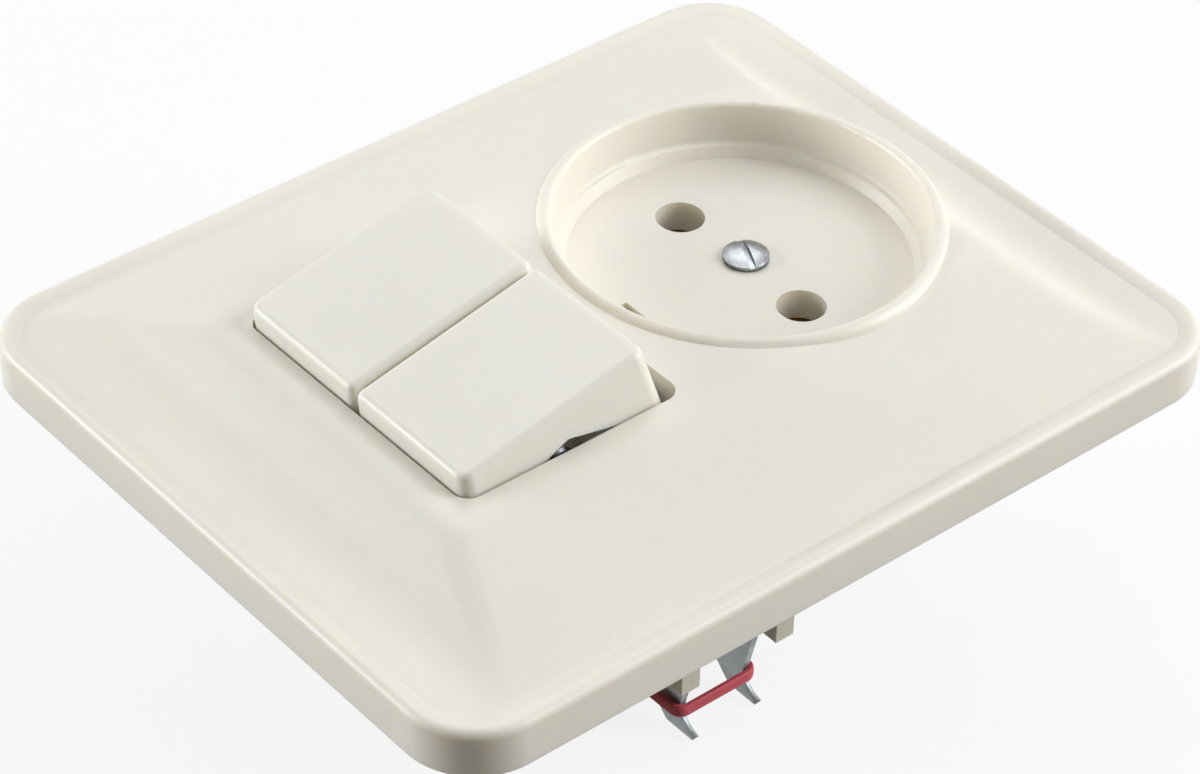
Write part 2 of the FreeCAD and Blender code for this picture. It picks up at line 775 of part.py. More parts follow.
def contact_cover():
    """Insulating cover over the socket's contacts."""
    top = collar_height + contact_cover_thickness
    slab = post(contact_cover_end + 0.4, 0, 0, collar_height, top)
    slab = slab.common(box(contact_cover_start, contact_cover_end, -contact_cover_half,
                           contact_cover_half, collar_height, top))
    holes = [post(bush_radius + seat_gap, cover_screw_x, 0, 0, top + 1)]
    for side in (-1, 1):
        holes.append(post(pin_hole_radius + pin_boss_wall + side_play / 2, socket_x,
                          side * pin_spacing / 2, 0, top + 1))
    return slab.cut(holes)


def axle_lug(y0, y1):
    """Upright ear with a round head for the axle."""
    foot = outline((-lug_foot_half, collar_height - 0.5), (lug_foot_half, collar_height - 0.5),
                   (lug_radius, pivot_height), (-lug_radius, pivot_height))
    foot.translate(point(pivot_x, y0, 0))
    ear = foot.extrude(point(0, y1 - y0, 0))
    return fused(ear, rod_across(lug_radius, pivot_x, pivot_height, y0, y1))


def raised_collar(gap, z0, z1):
    """Part of the base that stands through the support frame."""
    half_y = collar_half_width + gap
    block = box(-collar_end - gap, collar_end + gap, -half_y, half_y, z0, z1)
    return block.common(post(collar_radius + gap, 0, 0, z0, z1))


def tower(end):
    """Deep half of the base's back that holds one row of terminals."""
    block = box(end * tower_near, end * tower_far, -tower_half_width, tower_half_width,
                -tower_depth, -base_depth + 1)
    corners = [e for e in block.Edges if abs(e.tangentAt(e.FirstParameter).z) > 0.9]
    return block.makeFillet(tower_round, corners)


def base_cuts():
    """Chambers, slots and holes of the base."""
    cuts = [post(bush_radius + seat_gap, cover_screw_x, 0, bush_top() - bush_length,
                 collar_height + 1),
            post(cover_screw_radius + 0.3, cover_screw_x, 0,
                 recess_floor - cover_screw_length - 1, 0),
            common_outline(seat_gap), terminal_pocket(-1, 0),
            rod_across(axle_radius + seat_gap, pivot_x, pivot_height, -lug_outer - 1,
                       lug_outer + 1)]
    outer = sleeve_bore_radius + sleeve_wall + clip_wall + 0.2
    for side in (-1, 1):
        cuts.append(box(-claw_channel_half, claw_channel_half, side * claw_channel_floor,
                        side * (guide_rib_face + 1), -guide_rib_depth - 1, 0))
        cuts.append(Part.makeCylinder(claw_roll_radius + running_gap, claw_channel_half * 2,
                                      point(-claw_channel_half, side * claw_roll_y, claw_roll_z),
                                      point(1, 0, 0)))
        cuts.append(terminal_pocket(-1, side * switch_terminal_pitch))
        cuts.append(terminal_pocket(1, side * socket_terminal_offset))
        cuts.append(box(pivot_x - chamber_half_length, pivot_x + chamber_half_length,
                        side * chamber_inner, side * chamber_outer, chamber_floor,
                        collar_height + 1))
        cuts.append(post(outer, socket_x, side * pin_spacing / 2, -sleeve_depth - seat_gap,
                         collar_height + 1))
        for end in (-1, 1):
            cuts.append(post(rivet_radius + seat_gap, end * rivet_x, side * rivet_y,
                             -rivet_length - 0.2, 1))
    for strip in (switched_leg(seat_gap), socket_leg(seat_gap)):
        cuts.append(strip)
        cuts.append(mirrored(strip))
    return cuts


def base():
    """Moulded base: round block with flat sides, lugs, claw guides and two terminal towers."""
    block = post(base_radius, 0, 0, -base_depth, 0)
    block = block.common(box(-base_radius, base_radius, -base_half_width, base_half_width,
                             -base_depth, 0))
    inner, outer = claw_channel_half, claw_channel_half + guide_rib
    pieces = [raised_collar(0, -1, collar_height), tower(-1), tower(1),
              axle_lug(-lug_centre_half, lug_centre_half)]
    for side in (-1, 1):
        pieces.append(axle_lug(min(side * lug_outer, side * (lug_outer - lug_thickness)),
                               max(side * lug_outer, side * (lug_outer - lug_thickness))))
        for end in (-1, 1):
            rib = box(end * inner, end * outer, side * (claw_channel_floor - 1),
                      side * guide_rib_face, -guide_rib_depth, 0)
            foot = [e for e in rib.Edges if e.BoundBox.ZMax < 0.01 - guide_rib_depth]
            pieces.append(rib.makeFillet(guide_rib_round, foot))
    solid = fused(block, *pieces).cut(base_cuts())
    stop_top = seesaw_height - seesaw_half * math.sin(math.radians(seesaw_tilt)) - 0.6
    stops = [box(pivot_x + chamber_half_length - 2, pivot_x + chamber_half_length + 1,
                 side * chamber_inner, side * chamber_outer, chamber_floor - 1, stop_top)
             for side in (-1, 1)]
    return fused(solid, *stops)


def box_slot(edge):
    """Slot for one box screw, running outwards to a margin from the frame's edge."""
    middle = edge - box_slot_margin
    half = box_slot_length / 2 - box_slot_radius
    low, high = -1, frame_thickness + 1
    slot = box(middle - half, middle + half, -box_slot_radius, box_slot_radius, low, high)
    return fused(slot, post(box_slot_radius, middle - half, 0, low, high),
                 post(box_slot_radius, middle + half, 0, low, high))


def support_frame():
    """Steel frame on the wall: cut corners, opening for the base, slots and screw holes."""
    half_x, half_y = frame_length / 2, frame_width / 2
    plate = box(-half_x, half_x, -half_y, half_y, 0, frame_thickness)
    corners = [e for e in plate.Edges if abs(e.tangentAt(e.FirstParameter).z) > 0.9]
    plate = plate.makeChamfer(frame_corner_cut, corners)
    low, high = -1, frame_thickness + 1
    cuts = [raised_collar(frame_opening_gap, low, high),
            post(bush_radius + frame_opening_gap, cover_screw_x, 0, low, high)]
    for quarter, edge in ((0, half_x), (90, half_y), (180, half_x), (270, half_y)):
        slot = box_slot(edge)
        slot.rotate(point(0, 0, 0), up, quarter)
        cuts.append(slot)
    for side in (-1, 1):
        cuts.append(post(claw_screw_radius + frame_hole_gap, 0, side * claw_screw_y, low, high))
        for end in (-1, 1):
            cuts.append(post(rivet_radius + seat_gap, end * rivet_x, side * rivet_y, low, high))
    return plate.cut(cuts)


def frame_rivet(x, y):
    top = frame_thickness
    shank = post(rivet_radius, x, y, -rivet_length, top)
    head = post(rivet_head_radius, x, y, top, top + rivet_head_height)
    rim = [e for e in head.Edges if e.BoundBox.ZMin > top + rivet_head_height - 0.01]
    return fused(shank, head.makeChamfer(rivet_head_height * 0.6, rim))


def frame_rivets():
    return Part.makeCompound([frame_rivet(x * rivet_x, y * rivet_y)
                              for x in (-1, 1) for y in (-1, 1)])


def claw():
    """Front spreading claw: sheet steel bent to a U, with a toothed foot on each prong."""
    heel, tip = (-claw_neck_y, claw_heel_z), (-claw_tip_y, claw_tip_z)
    prong = outline(
        (-claw_inner_y, claw_web_top), (-claw_outer_y, claw_web_top),
        (-claw_outer_y, claw_shoulder_z), (-claw_neck_y, claw_neck_z), heel,
        bowed(heel, tip, -claw_tip_hollow), (-claw_tip_y + claw_edge_bevel, claw_toe_z),
        (-claw_toe_y, claw_toe_z), (-claw_inner_y, claw_heel_z))
    prong.rotate(point(0, 0, 0), up, 90)
    prong.translate(point(-claw_outer_half, 0, 0))
    block = prong.extrude(point(claw_outer_half * 2, 0, 0))
    inside = claw_outer_half - claw_sheet
    block = block.cut(box(-inside, inside, 0, -claw_tip_y - 2, claw_toe_z - 2,
                          claw_web_top - claw_web_thickness))
    middle_y = -(claw_inner_y + claw_outer_y) / 2
    folds = edges_near(block, [point(-claw_outer_half, middle_y, claw_web_top),
                               point(claw_outer_half, middle_y, claw_web_top)], 0.3)
    block = block.makeFillet(claw_sheet, folds)
    teeth = [e for e in block.Edges if e.BoundBox.ZMax < claw_heel_z + 0.01
             and e.BoundBox.YMin < -claw_tip_y + 0.01 and e.BoundBox.YMax > -claw_tip_y + 0.5]
    block = block.makeChamfer(claw_edge_bevel, teeth)
    roll = Part.makeCylinder(claw_roll_radius, claw_outer_half * 2,
                             point(-claw_outer_half, -claw_roll_y, claw_roll_z), point(1, 0, 0))
    hole = post(claw_screw_radius + claw_hole_gap, 0, -claw_screw_y, claw_web_top - 5,
                claw_web_top + 1)
    return fused(block, roll).cut(hole)


def claw_screw():
    """Front claw screw: slotted pan head on the frame, shank through the claw's web."""
    seat = frame_thickness
    radius, head = claw_screw_radius, claw_screw_head_radius
    tall = claw_screw_head_height
    face = outline(
        (0, seat - claw_screw_length), (radius - 0.6, seat - claw_screw_length),
        (radius, seat - claw_screw_length + 0.8), (radius, seat), (head, seat),
        (head, seat + tall * 0.55), (head * 0.8, seat + tall * 0.88), (head * 0.5, seat + tall),
        (0, seat + tall))
    screw = spun(face, 0, -claw_screw_y)
    slot = box(-screw_slot_width / 2, screw_slot_width / 2, -claw_screw_y - head - 1,
               -claw_screw_y + head + 1, seat + tall - screw_slot_depth, seat + tall + 1)
    return screw.cut(slot)


def claw_band():
    """Rubber band stretched round both claws to hold them folded in."""
    half_x, half_y = claw_outer_half + band_gap, claw_neck_y + band_gap
    thick = band_thickness
    low, high = band_z - band_height / 2, band_z + band_height / 2
    ring = rounded_prism(half_x + thick, half_y + thick, thick * 1.5, low, high)
    return ring.cut(rounded_prism(half_x, half_y, band_gap * 2, low - 1, high + 1))


def terminal_screws():
    switch_side = [clamp_screw(-1, y * switch_terminal_pitch) for y in (-1, 0, 1)]
    socket_side = [clamp_screw(1, y * socket_terminal_offset) for y in (-1, 1)]
    return Part.makeCompound(switch_side), Part.makeCompound(socket_side)


os.makedirs("parts", exist_ok=True)
switch_screws, socket_screws = terminal_screws()
pieces = {
    "cover_plate": cover_plate(), "cover_screw": cover_screw(), "screw_bush": screw_bush(),
    "rocker_axle": rocker_axle(), "common_contact": common_contact(),
    "contact_cover": contact_cover(), "base": base(), "support_frame": support_frame(),
    "frame_rivets": frame_rivets(), "claw_band": claw_band(),
    "switch_terminal_screws": switch_screws, "socket_terminal_screws": socket_screws,
}
back_pieces = {
    "rocker": rocker(), "rocker_cradle": rocker_cradle(), "spring_plunger": spring_plunger(),
    "toggle_spring": toggle_spring(), "seesaw_contact": seesaw_contact(),
    "switched_contact": switched_contact(), "socket_contact": socket_contact(),
    "sleeve_clip": sleeve_clip(),
}
front_pieces = {"claw": claw(), "claw_screw": claw_screw()}
for name, shape in back_pieces.items():
    pieces[name + "_back"] = shape
    pieces[name + "_front"] = mirrored(shape)
for name, shape in front_pieces.items():
    pieces[name + "_front"] = shape
    pieces[name + "_back"] = mirrored(shape)
for name, shape in pieces.items():
    shape.exportStep("parts/" + name + ".step")
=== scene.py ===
import math

import bmesh
import bpy
from mathutils import Matrix, Vector


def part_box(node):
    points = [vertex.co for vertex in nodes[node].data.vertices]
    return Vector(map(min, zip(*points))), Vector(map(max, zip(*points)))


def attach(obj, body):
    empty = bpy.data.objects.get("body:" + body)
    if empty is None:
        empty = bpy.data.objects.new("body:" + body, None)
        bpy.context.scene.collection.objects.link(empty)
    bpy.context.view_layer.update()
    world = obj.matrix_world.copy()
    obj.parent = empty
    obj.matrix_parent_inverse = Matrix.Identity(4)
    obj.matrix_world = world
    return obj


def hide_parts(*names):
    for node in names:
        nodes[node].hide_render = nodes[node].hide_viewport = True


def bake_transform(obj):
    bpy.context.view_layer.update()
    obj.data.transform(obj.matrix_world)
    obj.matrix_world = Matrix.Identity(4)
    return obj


# A flush wall combination of two rocker switches and an unearthed round socket, lying on its
# insert. Metres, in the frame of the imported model: the origin is the middle of the cover plate
# on the wall plane, X runs from the keys to the socket, Y across the plate and Z out of the wall.

MM = 0.001

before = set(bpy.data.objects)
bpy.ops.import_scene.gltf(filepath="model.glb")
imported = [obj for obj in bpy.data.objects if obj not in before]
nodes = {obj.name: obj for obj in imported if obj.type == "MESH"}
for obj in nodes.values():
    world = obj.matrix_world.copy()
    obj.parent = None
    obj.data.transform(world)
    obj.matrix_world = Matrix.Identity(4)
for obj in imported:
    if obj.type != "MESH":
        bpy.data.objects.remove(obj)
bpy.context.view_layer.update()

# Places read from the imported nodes
cover_screw_low, cover_screw_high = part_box("cover_screw")
band_low, band_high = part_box("claw_band")
frame_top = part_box("support_frame")[1].z
resting_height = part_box("base")[0].z

# Nearly all values of a noise texture lie between these two
NOISE_SPAN = {"From Min": 0.3, "From Max": 0.7}

# Radians that a wave texture runs through in one unit of its scale
WAVE_RADIANS = 20

# Refractive indices of urea moulding, of filled thermoset and of natural rubber
UREA_IOR, FILLED_IOR, RUBBER_IOR = 1.53, 1.52, 1.52

# Linear colour of the studio lamps, a little cooler than the white paper
LAMP_COLOUR = (0.92, 0.945, 1.0)


def linear(hex_colour):
    """The linear colour that a shader's socket takes, from an sRGB hex value."""
    channels = []
    for place in (0, 2, 4):
        value = int(hex_colour[place:place + 2], 16) / 255
        channels.append(value / 12.92 if value <= 0.04045 else ((value + 0.055) / 1.055) ** 2.4)
    return (*channels, 1.0)


def per_metre(size_mm):
    """Texture scale at which one cell of the pattern measures size_mm."""
    return 1 / (size_mm * MM)


def add(tree, kind, inputs=None, **settings):
    """A shader node with its settings. An input is a value, another node's output, or a
    node, which gives its first output."""
    made = tree.nodes.new(kind)
    for name, value in settings.items():
        setattr(made, name, value)
    for name, value in (inputs or {}).items():
        if isinstance(value, bpy.types.Node):
            value = value.outputs[0]
        if isinstance(value, bpy.types.NodeSocket):
            tree.links.new(value, made.inputs[name])
        else:
            made.inputs[name].default_value = value
    return made


def blank_material(name):
    made = bpy.data.materials.new(name)
    made.use_nodes = True
    made.node_tree.nodes.clear()
    return made, made.node_tree


def object_place(tree, centre=(0, 0, 0), stretch=(1, 1, 1)):
    """Object coordinates measured from centre, in metres."""
    place = add(tree, "ShaderNodeTexCoord").outputs["Object"]
    shift = tuple(-c * s for c, s in zip(centre, stretch))
    return add(tree, "ShaderNodeMapping", {"Vector": place, "Location": shift,
                                           "Scale": stretch})


def close_surface(tree, tone, colours, sheen, roughness, normal, others):
    """Ends a material. Its colour runs between two hex values with the pattern tone, and its
    roughness between two numbers with the pattern sheen."""
    share = add(tree, "ShaderNodeMapRange", {**NOISE_SPAN, "Value": tone,
                                             "To Min": 0.0, "To Max": 1.0})
    mixed = add(tree, "ShaderNodeMix", {0: share, 6: linear(colours[0]), 7: linear(colours[1])},
                data_type="RGBA")
    rough = add(tree, "ShaderNodeMapRange", {**NOISE_SPAN, "Value": sheen,
                                             "To Min": roughness[0], "To Max": roughness[1]})
    shader = add(tree, "ShaderNodeBsdfPrincipled", {
        "Base Color": mixed.outputs[2], "Roughness": rough, "Normal": normal, **others})
    add(tree, "ShaderNodeOutputMaterial", {"Surface": shader})


def moulded_urea(name, first, second):
    """Cream urea moulding from a polished tool: even colour, soft sheen and a faint ripple.
    Light goes a little way into it, which warms the holes and the shaded walls."""
    made, tree = blank_material(name)
    place = object_place(tree)
    cloud = add(tree, "ShaderNodeTexNoise",
                {"Vector": place, "Scale": per_metre(22.0), "Detail": 2.0})
    wear = add(tree, "ShaderNodeTexNoise",
               {"Vector": place, "Scale": per_metre(6.0), "Detail": 3.0})
    shrinkage = add(tree, "ShaderNodeTexNoise",
                    {"Vector": place, "Scale": per_metre(3.5), "Detail": 2.0})
    polish = add(tree, "ShaderNodeTexNoise",
                 {"Vector": place, "Scale": per_metre(0.45), "Detail": 3.0})
    ripple = add(tree, "ShaderNodeBump",
                 {"Height": shrinkage, "Distance": 0.010 * MM, "Strength": 1.0})
    skin = add(tree, "ShaderNodeBump",
               {"Height": polish, "Distance": 0.0022 * MM, "Strength": 1.0, "Normal": ripple})
    close_surface(tree, cloud, (first, second), wear, (0.38, 0.46), skin, {
        "IOR": UREA_IOR, "Subsurface Weight": 0.35,
        "Subsurface Radius": (1.0, 0.72, 0.34), "Subsurface Scale": 2.0 * MM})
    return made


def filled_moulding(name, first, second):
    """Matt cream thermoset of the insert: fine filler specks and a dry, slightly rough skin."""
    made, tree = blank_material(name)
    specks = add(tree, "ShaderNodeTexNoise", {"Vector": object_place(tree),
                                              "Scale": per_metre(0.5), "Detail": 4.0})
    skin = add(tree, "ShaderNodeBump",
               {"Height": specks, "Distance": 0.012 * MM, "Strength": 1.0})
    close_surface(tree, specks, (first, second), specks, (0.52, 0.66), skin,
                  {"IOR": FILLED_IOR})
    return made


def bright_zinc(name, dark, light, axis=(0, 0, 0)):
    """Zinc-plated turned steel: bright and hazy, with the lathe's rings round an upright
    axis. Real rings are finer, and are drawn 0.22 mm apart to show at all."""
    made, tree = blank_material(name)
    place = object_place(tree, axis)
    rings = add(tree, "ShaderNodeTexWave",
                {"Vector": place, "Scale": per_metre(0.22) * math.tau / WAVE_RADIANS,
                 "Distortion": 1.5, "Detail": 1.0},
                wave_type="RINGS", rings_direction="Z").outputs["Fac"]
    haze = add(tree, "ShaderNodeTexNoise",
               {"Vector": place, "Scale": per_metre(0.9), "Detail": 3.0})
    turned = add(tree, "ShaderNodeBump",
                 {"Height": rings, "Distance": 0.002 * MM, "Strength": 1.0})
    close_surface(tree, haze, (dark, light), haze, (0.20, 0.32), turned, {"Metallic": 1.0})
    return made


def galvanised_sheet(name, first, second, spangle_mm, shine):
    """Hot-dip galvanised strip: a dull grey skin broken up by crystals of zinc.
    The less shine, the more of the pale oxide bloom shows."""
    made, tree = blank_material(name)
    place = object_place(tree)
    cells = add(tree, "ShaderNodeTexVoronoi",
                {"Vector": place, "Scale": per_metre(spangle_mm)}).outputs["Color"]
    crystal = add(tree, "ShaderNodeSeparateColor", {"Color": cells}).outputs["Red"]
    grain = add(tree, "ShaderNodeTexNoise",
                {"Vector": place, "Scale": per_metre(0.35), "Detail": 3.0})
    skin = add(tree, "ShaderNodeBump",
               {"Height": grain, "Distance": 0.006 * MM, "Strength": 1.0})
    close_surface(tree, crystal, (first, second), crystal, (0.34, 0.50), skin,
                  {"Metallic": shine})
    return made


def stamped_brass(name):
    """Stamped brass strip, slightly dulled by handling."""
    made, tree = blank_material(name)
    place = object_place(tree)
    tarnish = add(tree, "ShaderNodeTexNoise",
                  {"Vector": place, "Scale": per_metre(2.5), "Detail": 3.0})
    grain = add(tree, "ShaderNodeTexNoise",
                {"Vector": place, "Scale": per_metre(0.4), "Detail": 2.0})
    rolled = add(tree, "ShaderNodeBump",
                 {"Height": grain, "Distance": 0.004 * MM, "Strength": 1.0})
    close_surface(tree, tarnish, ("B9924A", "D3AE63"), tarnish, (0.26, 0.42), rolled,
                  {"Metallic": 1.0})
    return made


def drawn_spring_steel(name):
    """Oiled drawn wire and pin: dark grey with lengthwise drawing lines, drawn coarser than
    they are so that they show."""
    made, tree = blank_material(name)
    lengthwise = object_place(tree, stretch=(1.0, 0.15, 1.0))
    lines = add(tree, "ShaderNodeTexNoise",
                {"Vector": lengthwise, "Scale": per_metre(0.2), "Detail": 2.0})
    drawn = add(tree, "ShaderNodeBump",
                {"Height": lines, "Distance": 0.004 * MM, "Strength": 1.0})
    close_surface(tree, lines, ("7C7D7F", "96989A"), lines, (0.24, 0.36), drawn,
                  {"Metallic": 1.0})
    return made


def red_band_rubber(name):
    """Natural rubber cut from tube: flat red, powdery, with fine knife lines."""
    made, tree = blank_material(name)
    bloom = add(tree, "ShaderNodeTexNoise", {"Vector": object_place(tree),
                                             "Scale": per_metre(1.6), "Detail": 3.0})
    cuts = add(tree, "ShaderNodeTexNoise",
               {"Vector": object_place(tree, stretch=(0.2, 0.2, 1.0)),
                "Scale": per_metre(0.3), "Detail": 2.0})
    sliced = add(tree, "ShaderNodeBump",
                 {"Height": cuts, "Distance": 0.02 * MM, "Strength": 1.0})
    close_surface(tree, bloom, ("C8404C", "D85A64"), bloom, (0.55, 0.72), sliced,
                  {"IOR": RUBBER_IOR, "Sheen Weight": 0.15, "Sheen Roughness": 0.5})
    return made


plate_material = moulded_urea("moulded_urea_plate", "ECE6D7", "EFE9DA")
key_material = moulded_urea("moulded_urea_keys", "ECE7D9", "EFEADD")
insert_material = filled_moulding("filled_thermoset_insert", "DAD4C1", "E4DECC")
inner_material = filled_moulding("filled_thermoset_inner", "CFCAB9", "D8D3C4")
frame_material = galvanised_sheet("galvanised_frame", "A5A8AA", "BDC0C2", 2.4, 0.9)
claw_material = galvanised_sheet("galvanised_claw", "9BA2A4", "B7BDBE", 1.6, 0.55)
brass_material = stamped_brass("stamped_brass")
spring_material = drawn_spring_steel("drawn_spring_steel")
# The cover screw's zinc is darker than the small screws': painted shade, standing in for dark
# surroundings mirrored in its head.
cover_screw_material = bright_zinc("zinc_cover_screw_painted_shade", "8F9194", "ABADAF",
                                   (cover_screw_low + cover_screw_high) / 2)
screw_material = bright_zinc("zinc_small_screws", "A9ACAF", "C2C4C5")
band_material = red_band_rubber("red_band_rubber")

# By node name, or by what the names of a front and a back node have in common
finishes = {
    "cover_plate": plate_material, "rocker": key_material, "base": insert_material,
    "rocker_cradle": inner_material, "contact_cover": inner_material,
    "spring_plunger": spring_material, "toggle_spring": spring_material,
    "rocker_axle": spring_material, "sleeve_clip": spring_material,
    "seesaw_contact": brass_material, "common_contact": brass_material,
    "switched_contact": brass_material, "socket_contact": brass_material,
    "screw_bush": brass_material, "support_frame": frame_material,
    "frame_rivets": screw_material, "cover_screw": cover_screw_material,
    "switch_terminal_screws": screw_material, "socket_terminal_screws": screw_material,
    "claw": claw_material, "claw_screw": screw_material, "claw_band": band_material,
}


def dress(name, obj):
    """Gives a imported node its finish, and shading that stays flat on the flat faces."""
    material = finishes.get(name) or finishes[name.rsplit("_", 1)[0]]
    obj.data.materials.clear()
    obj.data.materials.append(material)
    weld = obj.modifiers.new("weld", "WELD")
    weld.merge_threshold = 0.001 * MM
    split = obj.modifiers.new("sharp_edges", "EDGE_SPLIT")
    split.split_angle = math.radians(32)
    shading = obj.modifiers.new("flat_faces", "WEIGHTED_NORMAL")
    shading.weight = 80
    for face in obj.data.polygons:
        face.use_smooth = True


for node_name, node_object in nodes.items():
    dress(node_name, node_object)


def new_piece(name, mesh, material, slot, *stands_for):
    """Object from a finished bmesh, shaded smooth but for its sharp edges."""
    bmesh.ops.recalc_face_normals(mesh, faces=mesh.faces)
    data = bpy.data.meshes.new(name)
    mesh.to_mesh(data)
    mesh.free()
    data.shade_smooth()
    data.set_sharp_from_angle(angle=math.radians(35))
    data.materials.append(material)
    made = bpy.data.objects.new(name, data)
    bpy.context.scene.collection.objects.link(made)
    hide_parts(*stands_for)
    return made


def cut_thread(axis, radius, pitch, low, high):
    """Right-hand thread from low to high round an upright axis, with a tapered start: a
    cylinder cut into rows, whose wall is then drawn in between the crests."""
    around, rows_per_turn = 40, 10
    depth = 0.54 * pitch
    flank = 0.3478  # share of the pitch that each side of a crest takes
    start_turns, end_turns, start_narrowing = 1.6, 1.2, 0.35
    rows = int((high - low) / pitch * rows_per_turn)
    mesh = bmesh.new()
    bmesh.ops.create_cone(mesh, cap_ends=True, cap_tris=True, segments=around,
                          radius1=radius, radius2=radius, depth=high - low,
                          matrix=Matrix.Translation((axis.x, axis.y, (low + high) / 2)))
    upright = [e for e in mesh.edges if abs(e.verts[0].co.z - e.verts[1].co.z) > pitch]
    bmesh.ops.subdivide_edges(mesh, edges=upright, cuts=rows - 1)
    for vert in mesh.verts:
        out = vert.co.xy - axis.xy
        if out.length < radius / 2:
            continue
        turns = math.atan2(out.y, out.x) / math.tau
        entering = min(1.0, (vert.co.z - low) / (start_turns * pitch))
        leaving = min(1.0, (high - vert.co.z) / (end_turns * pitch))
        off_crest = abs((vert.co.z / pitch - turns) % 1.0 - 0.5)
        crest = min(1.0, (0.5 - off_crest) / flank)
        cut = depth * (1 - crest * entering) * leaving
        reach = radius - cut - start_narrowing * depth * (1 - entering)
        vert.co.xy = axis.xy + out.normalized() * reach
    thread = bpy.data.meshes.new("thread")
    mesh.to_mesh(thread)
    mesh.free()
    return thread


def threaded_screw(node, seat, radius, pitch, material):
    """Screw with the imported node's slotted head, eased edges and a real thread below it."""
    low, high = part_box(node)
    axis = (low + high) / 2
    neck, thread_top, rim = seat - 0.3 * MM, seat - 0.2 * MM, seat + 0.05 * MM
    mesh = bmesh.new()
    mesh.from_mesh(nodes[node].data)
    bmesh.ops.remove_doubles(mesh, verts=mesh.verts, dist=0.002 * MM)
    bmesh.ops.bisect_plane(mesh, geom=mesh.verts[:] + mesh.edges[:] + mesh.faces[:],
                           plane_co=(0, 0, neck), plane_no=(0, 0, 1), clear_inner=True)
    bmesh.ops.holes_fill(mesh, edges=[e for e in mesh.edges if e.is_boundary], sides=0)
    bmesh.ops.dissolve_limit(mesh, angle_limit=math.radians(1.0), verts=mesh.verts,
                             edges=mesh.edges)
    head_edges = [e for e in mesh.edges
                  if e.is_manifold and e.calc_face_angle(0) > math.radians(50)
                  and min(v.co.z for v in e.verts) > rim]
    bmesh.ops.bevel(mesh, geom=head_edges, offset=0.07 * MM, segments=2, profile=0.5,
                    affect="EDGES", clamp_overlap=True, material=-1)
    bmesh.ops.triangulate(mesh, faces=[f for f in mesh.faces if len(f.verts) > 4])
    thread = cut_thread(axis, radius, pitch, low.z, thread_top)
    mesh.from_mesh(thread)
    bpy.data.meshes.remove(thread)
    return new_piece(node + "_turned", mesh, material, "zinc_screw", node)


cover_screw_seat = cover_screw_high.z - 1.1 * MM
cover_screw = threaded_screw("cover_screw", cover_screw_seat, radius=1.5 * MM,
                             pitch=0.5 * MM, material=cover_screw_material)
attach(cover_screw, "insert")
for side in ("front", "back"):
    name = "claw_screw_" + side
    claw_low, claw_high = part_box(name)
    turned_zinc = bright_zinc("zinc_" + name, "A9ACAF", "C2C4C5", (claw_low + claw_high) / 2)
    claw_screw = threaded_screw(name, frame_top, radius=1.6 * MM, pitch=0.7 * MM,
                                material=turned_zinc)
    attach(claw_screw, name)


def band_path(side, half_x, end_y, corner):
    """Places along half of the band's loop, from the middle of one span round to the other,
    each with its outward direction and its share of the way to the claw."""
    span_steps, corner_steps = 14, 8
    straight = end_y - corner
    places = []
    for step in range(span_steps + 1):
        y = straight * step / span_steps
        places.append((half_x, y, 1.0, 0.0, y / end_y))
    for step in range(1, corner_steps + 1):
        turn = math.pi / 2 * step / corner_steps
        places.append((half_x - corner + corner * math.cos(turn),
                       straight + corner * math.sin(turn), math.cos(turn), math.sin(turn), 1.0))
    mirrored = [(-x, y, -out_x, out_y, share) for x, y, out_x, out_y, share in places]
    return [(x, side * y, out_x, side * out_y, share)
            for x, y, out_x, out_y, share in places + mirrored[::-1]]


def band_stand(x, y, out_x, out_y, share):
    """Matrix that takes the band's unit section to one place on its path. The band is narrow,
    twisted and a little slack where it spans free, and spread flat on the claw."""
    claw_tall, free_tall, claw_thick, free_thick = 1.50 * MM, 1.18 * MM, 0.74 * MM, 0.88 * MM
    free_lift, slack, free_twist, fading = 0.10 * MM, 0.175 * MM, 0.5, 0.7
    free = (1 - share) ** fading
    tall = claw_tall + (free_tall - claw_tall) * free
    thick = claw_thick + (free_thick - claw_thick) * free
    sag = slack * math.sin(math.pi * share) * (1 - share)
    middle = band_low.z + tall / 2 + free_lift * free - sag
    twist = free_twist * free
    out, upward = Vector((out_x, out_y, 0)), Vector((0, 0, 1))
    turned = Matrix((out, upward, out.cross(upward))).transposed().to_4x4()
    return (Matrix.Translation((x, y, middle)) @ turned @ Matrix.Rotation(twist, 4, "Z")
            @ Matrix.Diagonal((thick / 2, tall / 2, MM, 1)))


def band_half(name, side):
    """Half of the rubber band: a section with flattened sides, drawn along its path."""
    corner, to_middle = 1.1 * MM, 0.4 * MM
    half_x, end_y = band_high.x - to_middle, band_high.y - to_middle
    face_bulge, edge_bulge = 0.7, 0.6
    mesh = bmesh.new()
    ring = bmesh.ops.create_circle(mesh, segments=16, radius=1.0)["verts"]
    for vert in ring:
        vert.co.x = math.copysign(abs(vert.co.x) ** face_bulge, vert.co.x)
        vert.co.y = math.copysign(abs(vert.co.y) ** edge_bulge, vert.co.y)
    stands = [band_stand(*place) for place in band_path(side, half_x, end_y, corner)]
    bmesh.ops.transform(mesh, matrix=stands[0], verts=ring)
    leading = mesh.edges[:]
    for before, after in zip(stands, stands[1:]):
        grown = bmesh.ops.extrude_edge_only(mesh, edges=leading)["geom"]
        ring = [part for part in grown if isinstance(part, bmesh.types.BMVert)]
        leading = [part for part in grown
                   if isinstance(part, bmesh.types.BMEdge) and part.is_boundary]
        bmesh.ops.transform(mesh, matrix=after @ before.inverted(), verts=ring)
    open_ends = [edge for edge in mesh.edges if edge.is_boundary]
    caps = bmesh.ops.edgeloop_fill(mesh, edges=open_ends)["faces"]
    bmesh.ops.poke(mesh, faces=caps, center_mode="MEAN")
    made = new_piece(name, mesh, band_material, "band_rubber", "claw_band")
    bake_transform(made)
    return made


band_half("rubber_band_front", -1)
band_half("rubber_band_back", 1)


